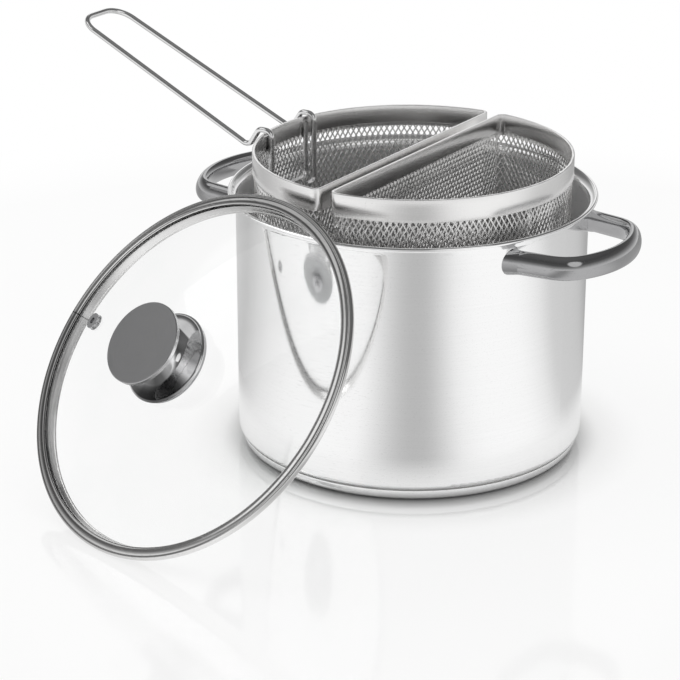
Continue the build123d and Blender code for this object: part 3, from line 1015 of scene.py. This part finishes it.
class PASTAPOT_OT_knob(bpy.types.Operator):
    """Finish the knob, its gasket and its fastening"""

    bl_idname = "pasta_pot.knob"
    bl_label = "Knob"

    def execute(self, context):
        looks = context.scene.pasta_pot_steel
        dress(["knob_body"], make_knob_steel(looks))
        dress(["knob_top_cap"], make_disc_steel(looks))
        dress(["knob_gasket"], make_gasket())
        zinc = make_metal("fastener_zinc", looks.zinc, 0.28, spread=0.06, pitch=0.0003, lid=True)
        dress(["knob_screw", "knob_washer", "knob_cup_washer"], zinc.material)
        return {"FINISHED"}


# Stage

# Grey panels that the metal shows round the pot, by bearing from -180 to 180 degrees,
# and the studio above it, by height
reflected_panels = by_direction((
    (-180, 0.5), (-165, 0.62), (-148, 0.8), (-120, 1.0), (-84, 1.0), (-72, 0.72), (-61, 0.5),
    (-50, 0.5), (-42, 0.66), (-33, 0.9), (-20, 1.0), (6, 1.0), (22, 0.84), (34, 0.62),
    (66, 0.62), (88, 0.34), (104, 0.5), (125, 0.8), (150, 0.6), (180, 0.5),
))
studio_heights = ((0.0, 1.0), (0.05, 0.9), (0.18, 0.5), (0.38, 0.17), (0.62, 0.12), (1.0, 0.2))

# White cards above, which the floor, the lid and the handles mirror: direction, and
# cosine of the card's soft edge, outside and inside
studio_cards = (
    (Vector((-0.518, 0.773, 0.366)), 0.972, 0.988),
    (Vector((-0.68, -0.12, 0.72)), 0.963, 0.982),
    (Vector((-0.55, -0.55, 0.63)), 0.957, 0.985),
    (Vector((0.75, -0.35, 0.56)), 0.94, 0.97),
)

# The studio in a reflection of a reflection
deep_white = (0.8, 0.8, 0.8, 1.0)

# The floor's colour, and its colour in the contact shadow under the base
floor_white = (0.955, 0.955, 0.952, 1.0)
contact_grey = (0.4, 0.4, 0.4, 1.0)

# How white the floor is by itself, before light and shadow, and how much it mirrors
floor_lift = 0.7
floor_mirror = 0.3
mirror_rough = 0.07

# Distances from the pot's axis between which the floor changes: from the contact shadow to
# plain white, from its own shading to its lift, into the panels that metal sees, from a
# mirror to matt, and into the white background
contact_fade = (0.11, 0.138)
lift_fade = (0.112, 0.17)
panel_fade = (0.12, 0.2)
mirror_fade = (0.3, 0.5)
background_fade = (0.36, 0.75)

# Square soft lamps: name, share of the lamp power, and place
lamps = (
    ("key_lamp", 1.0, (-0.9, -0.5, 1.3)),
    ("fill_lamp", 0.6, (1.2, -0.2, 0.9)),
)
lamp_size = 0.9
lamp_aim = (0, 0, 0.1)

# Width of the camera's film in millimetres
film_width = 36.0


def make_floor_material():
    """Glossy white floor near the object that fades to the plain background."""
    material, tree, shader, place = start_material("floor_white")
    parts = split(tree, place)
    reach = reach_of(tree, parts)
    contact = blend_colours(
        tree, remap(tree, reach, *contact_fade, smooth=True), contact_grey, floor_white
    )
    tree.links.new(contact, shader.inputs["Base Color"])
    mottle = noise(tree, place, 3.0)
    tree.links.new(remap(tree, mottle, 0.0, 1.0, 0.08, 0.14), shader.inputs["Roughness"])
    mirror = add_node(tree, "ShaderNodeBsdfGlossy")
    tree.links.new(contact, mirror.inputs["Color"])
    mirror.inputs["Roughness"].default_value = mirror_rough
    share = remap(tree, reach, *mirror_fade, floor_mirror, 0.0, smooth=True)
    polished = mix_shaders(tree, share, shader.outputs[0], mirror.outputs[0])

    # The panels show only in metal that is seen directly, at the first glossy bounce
    path = add_node(tree, "ShaderNodeLightPath").outputs
    first_bounce = compute(tree, "COMPARE", path["Glossy Depth"], 1.0, 0.1)
    near = remap(tree, reach, *panel_fade, smooth=True)
    in_metal = compute(tree, "MULTIPLY", first_bounce, near)
    panels = ramp_round(tree, bearing_of(tree, parts), reflected_panels, "B_SPLINE")
    glow = add_node(tree, "ShaderNodeEmission")
    tree.links.new(blend_colours(tree, in_metal, white, panels), glow.inputs["Color"])

    seen = path["Is Camera Ray"]
    for ray in ("Is Glossy Ray", "Is Transmission Ray"):
        seen = compute(tree, "MAXIMUM", seen, path[ray])
    lift = compute(
        tree, "MAXIMUM", remap(tree, reach, *lift_fade, 0.0, floor_lift, smooth=True),
        remap(tree, reach, *background_fade, smooth=True),
    )
    shown = compute(
        tree, "MAXIMUM", compute(tree, "MULTIPLY", lift, seen), in_metal, clamp=True
    )
    mixed = mix_shaders(tree, shown, polished, glow.outputs[0])
    tree.links.new(mixed, tree.nodes["Material Output"].inputs["Surface"])
    return material


def add_background(tree, colour, strength=1.0):
    """Light of one colour from the world."""
    node = add_node(tree, "ShaderNodeBackground")
    feed(tree, node.inputs["Color"], colour)
    node.inputs["Strength"].default_value = strength
    return node.outputs[0]


def make_world(strength):
    """White behind the object, a soft studio in the metal, even light on the rest."""
    world = bpy.data.worlds.new("studio")
    bpy.context.scene.world = world
    world.use_nodes = True
    tree = world.node_tree
    tree.nodes.clear()
    direction = add_node(tree, "ShaderNodeTexCoord").outputs["Generated"]
    cards = 0.0
    for way, outer, inner in studio_cards:
        facing = add_node(tree, "ShaderNodeVectorMath", operation="DOT_PRODUCT")
        tree.links.new(direction, facing.inputs[0])
        facing.inputs[1].default_value = way.normalized()
        card = remap(tree, facing.outputs["Value"], outer, inner, smooth=True)
        cards = compute(tree, "MAXIMUM", cards, card)
    heights = ramp_of(tree, split(tree, direction)["Z"], studio_heights)
    first = blend_colours(tree, cards, heights, white)
    path = add_node(tree, "ShaderNodeLightPath").outputs
    # From the second glossy bounce on
    deep = compute(tree, "GREATER_THAN", path["Glossy Depth"], 1.5)
    studio = add_background(tree, blend_colours(tree, deep, first, deep_white))
    even = add_background(tree, white, strength)
    glossy = mix_shaders(tree, path["Is Glossy Ray"], even, studio)
    seen = compute(tree, "MAXIMUM", path["Is Camera Ray"], path["Is Transmission Ray"])
    mixed = mix_shaders(tree, seen, glossy, add_background(tree, white))
    output = add_node(tree, "ShaderNodeOutputWorld")
    tree.links.new(mixed, output.inputs["Surface"])


def add_lamp(name, power, place):
    """A square soft lamp aimed at the object."""
    light = bpy.data.lights.new(name, "AREA")
    light.energy = power
    light.size = lamp_size
    lamp = bpy.data.objects.new(name, light)
    lamp.location = place
    lamp.rotation_euler = (Vector(lamp_aim) - Vector(place)).to_track_quat("-Z", "Y").to_euler()
    lamp.visible_glossy = False
    bpy.context.scene.collection.objects.link(lamp)


def lay_floor(radius, facets):
    """A round floor under the object."""
    mesh = bmesh.new()
    bmesh.ops.create_circle(mesh, cap_ends=True, segments=facets, radius=radius)
    data = bpy.data.meshes.new("floor")
    mesh.to_mesh(data)
    mesh.free()
    data.materials.append(make_floor_material())
    ground = bpy.data.objects.new("floor", data)
    bpy.context.scene.collection.objects.link(ground)


def place_camera(stage):
    """The camera at the photograph's angle."""
    sine, cosine = sin(stage.azimuth), cos(stage.azimuth)
    up_sine, up_cosine = sin(stage.elevation), cos(stage.elevation)
    back = Vector((sine * up_cosine, -cosine * up_cosine, up_sine))
    right = Vector((cosine, sine, 0))
    up = back.cross(right)
    turned_right = cos(stage.roll) * right - sin(stage.roll) * up
    turned_up = sin(stage.roll) * right + cos(stage.roll) * up
    turn = Matrix((turned_right, turned_up, back)).transposed().to_4x4()
    data = bpy.data.cameras.new("camera")
    data.sensor_width = film_width
    data.lens = stage.lens
    camera = bpy.data.objects.new("camera", data)
    camera.matrix_world = Matrix.Translation(Vector(stage.target) + stage.distance * back) @ turn
    bpy.context.scene.collection.objects.link(camera)
    bpy.context.scene.camera = camera


class PASTAPOT_OT_stage(bpy.types.Operator):
    """Lay the floor, hang the lamps and place the camera"""

    bl_idname = "pasta_pot.stage"
    bl_label = "Stage"

    def execute(self, context):
        stage = context.scene.pasta_pot_stage
        lay_floor(stage.floor_radius, stage.facets)
        make_world(stage.even_light)
        for name, share, place in lamps:
            add_lamp(name, stage.lamp_power * share, place)
        place_camera(stage)
        context.scene.view_settings.view_transform = "Standard"
        return {"FINISHED"}


class PASTAPOT_PT_sidebar(bpy.types.Panel):
    """The pot's sizes, colours and steps"""

    bl_label = "Pasta Pot"
    bl_idname = "PASTAPOT_PT_sidebar"
    bl_space_type = "VIEW_3D"
    bl_region_type = "UI"
    bl_category = "Pasta Pot"

    def draw(self, context):
        layout = self.layout
        scene = context.scene
        for title, settings in (
            ("Net", scene.pasta_pot_net),
            ("Steel", scene.pasta_pot_steel),
            ("Stage", scene.pasta_pot_stage),
        ):
            box = layout.box()
            box.label(text=title)
            for name in settings.bl_rna.properties.keys():
                if name not in ("name", "rna_type"):
                    box.prop(settings, name)
        for step in steps:
            layout.operator(step.bl_idname)


steps = (
    PASTAPOT_OT_pot,
    PASTAPOT_OT_side_handles,
    PASTAPOT_OT_baskets,
    PASTAPOT_OT_wire_handle,
    PASTAPOT_OT_lid,
    PASTAPOT_OT_knob,
    PASTAPOT_OT_stage,
)
settings_groups = {
    "pasta_pot_net": NetSizes,
    "pasta_pot_steel": SteelLooks,
    "pasta_pot_stage": StageSizes,
}


def register():
    for entry in (*settings_groups.values(), *steps, PASTAPOT_PT_sidebar):
        bpy.utils.register_class(entry)
    for name, group in settings_groups.items():
        setattr(bpy.types.Scene, name, PointerProperty(type=group))


def unregister():
    for name in settings_groups:
        delattr(bpy.types.Scene, name)
    for entry in (PASTAPOT_PT_sidebar, *reversed(steps), *settings_groups.values()):
        bpy.utils.unregister_class(entry)


def main():
    register()
    bpy.ops.pasta_pot.pot()
    bpy.ops.pasta_pot.side_handles()
    bpy.ops.pasta_pot.baskets()
    bpy.ops.pasta_pot.wire_handle()
    bpy.ops.pasta_pot.lid()
    bpy.ops.pasta_pot.knob()
    bpy.ops.pasta_pot.stage()


if __name__ == "__main__":
    main()
